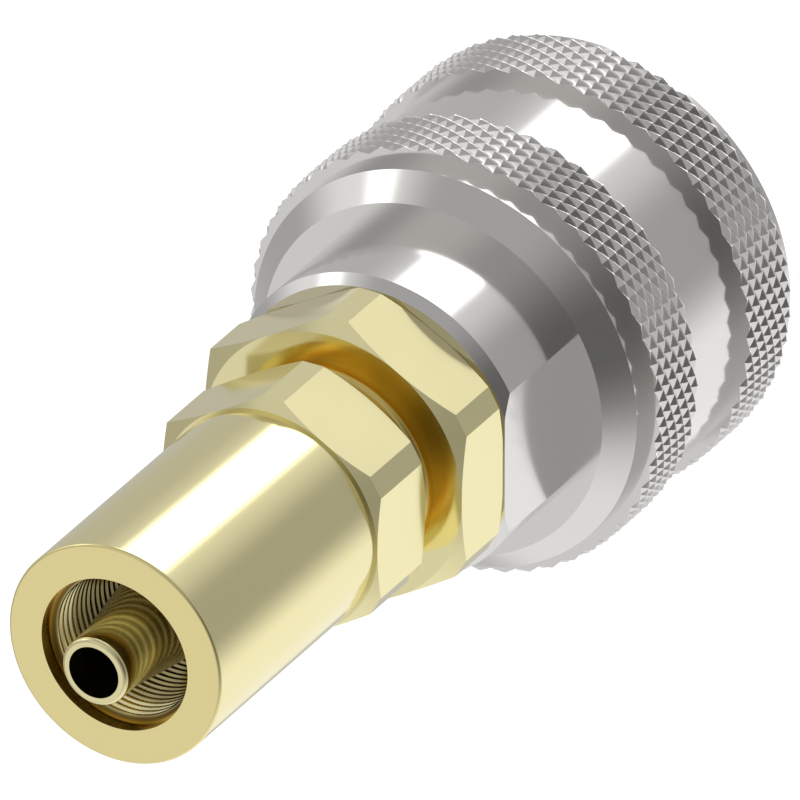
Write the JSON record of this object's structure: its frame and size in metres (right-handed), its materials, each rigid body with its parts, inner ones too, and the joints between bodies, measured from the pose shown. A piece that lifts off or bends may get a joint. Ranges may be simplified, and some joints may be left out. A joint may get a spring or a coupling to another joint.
{
  "type": "quick coupling",
  "caption": "Ball-lock hydraulic quick coupling with a knurled release sleeve, a poppet valve and a screw-together brass hose fitting on its back.",
  "frame": {"origin": "centre of the mouth's face, at the bottom of the upright part", "axes": "+Z along the common axis from the mouth to the hose end, +X square to a wrench flat of the neck"},
  "size_m": [0.038, 0.038, 0.0807],
  "materials": {
    "brass": "polished brass",
    "nickel": "satin nickel plate",
    "steel": "ground steel",
    "spring_steel": "drawn spring wire",
    "seal_rubber": "smooth moulded rubber",
    "bearing_plastic": "white bearing plastic"
  },
  "bodies": {
    "body": {"hose_socket": "brass", "hose_nipple": "brass", "port_seal": "seal_rubber", "rear_body": "nickel", "front_barrel": "nickel", "valve_seat": "brass", "body_seal": "seal_rubber", "valve_spring": "spring_steel", "valve_guide": "brass", "plug_seal": "seal_rubber", "backup_ring": "bearing_plastic", "sleeve_spring": "spring_steel", "seat_washer": "steel", "snap_ring": "spring_steel", "sleeve_wiper": "seal_rubber", "locking_ball_1": "steel", "locking_ball_2": "steel", "locking_ball_3": "steel", "locking_ball_4": "steel", "locking_ball_5": "steel", "locking_ball_6": "steel", "locking_ball_7": "steel", "locking_ball_8": "steel"},
    "thrust_washer": {"thrust_washer": "steel"},
    "sleeve": {"release_sleeve": "nickel"},
    "valve": {"valve_poppet": "brass", "poppet_seal": "seal_rubber"}
  },
  "joints": [
    {"name": "sleeve_slide", "type": "slide", "parent": "body", "child": "thrust_washer", "axis": [0, 0, -1], "range_m": [0, 0.0035], "stiffness_N_per_m": 1500, "springref_m": -0.003, "deforming": ["sleeve_spring"]},
    {"name": "sleeve_spin", "type": "hinge", "parent": "thrust_washer", "child": "sleeve", "pos_m": [0, 0, 0.0123], "axis": [0, 0, 1], "continuous": true},
    {"name": "valve_slide", "type": "slide", "parent": "body", "child": "valve", "axis": [0, 0, 1], "range_m": [0, 0.0025], "stiffness_N_per_m": 900, "springref_m": -0.003, "deforming": ["valve_spring"]}
  ]
}
